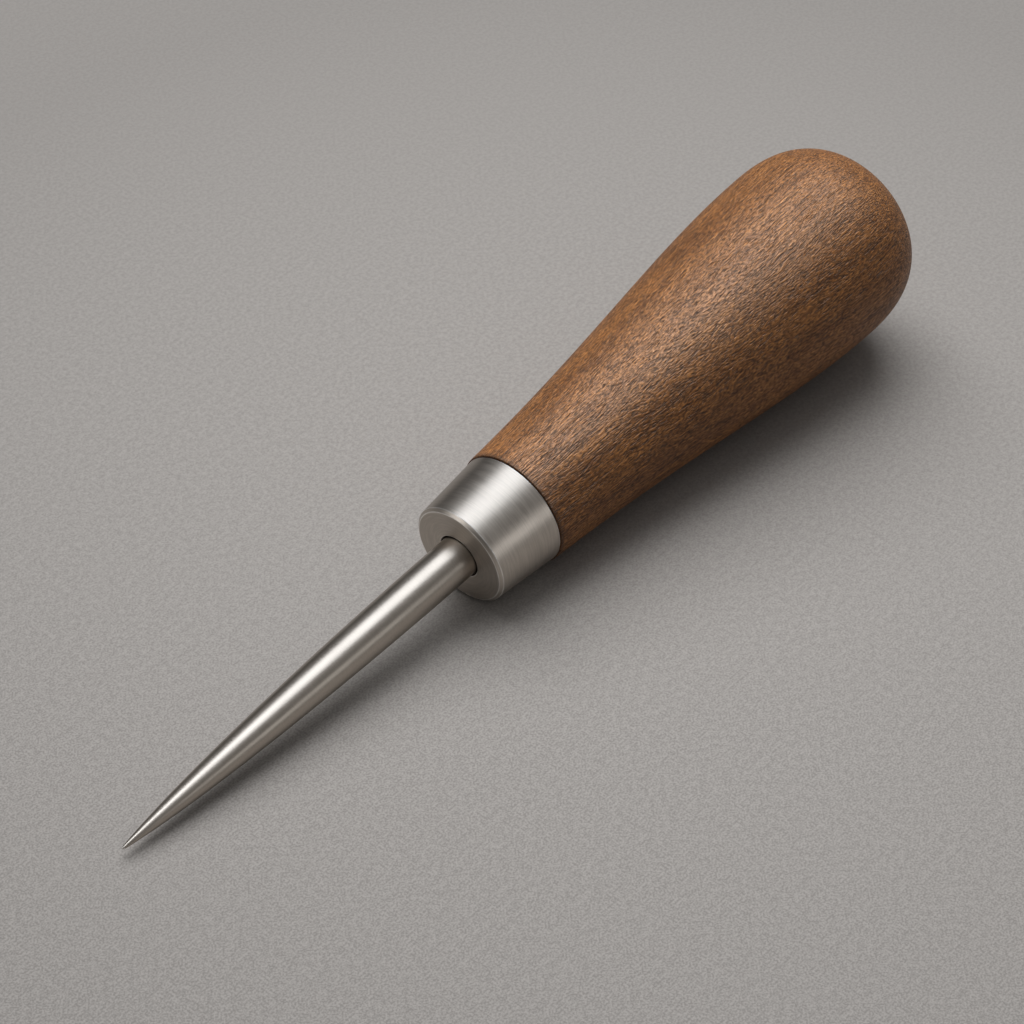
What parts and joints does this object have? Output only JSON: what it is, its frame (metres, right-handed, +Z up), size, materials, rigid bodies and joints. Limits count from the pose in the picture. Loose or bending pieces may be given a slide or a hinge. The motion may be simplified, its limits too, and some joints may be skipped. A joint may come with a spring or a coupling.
{
  "type": "bradawl",
  "caption": "Round-bladed bradawl with a pear-shaped turned wooden handle, a tapered steel ferrule and a pointed tanged steel blade, for starting holes and marking.",
  "frame": {"origin": "on the surface the tool lies on, below the middle of its length", "axes": "+X along the tool from the point to the butt, +Y across it, +Z up"},
  "size_m": [0.1594, 0.0312, 0.0319],
  "materials": {
    "handle_wood": "satin oiled, fine straight grain",
    "ferrule_steel": "turned and finely brushed round the axis",
    "blade_steel": "ground and satin polished"
  },
  "bodies": {
    "root": {"handle": "handle_wood", "ferrule": "ferrule_steel", "blade": "blade_steel"}
  },
  "joints": []
}
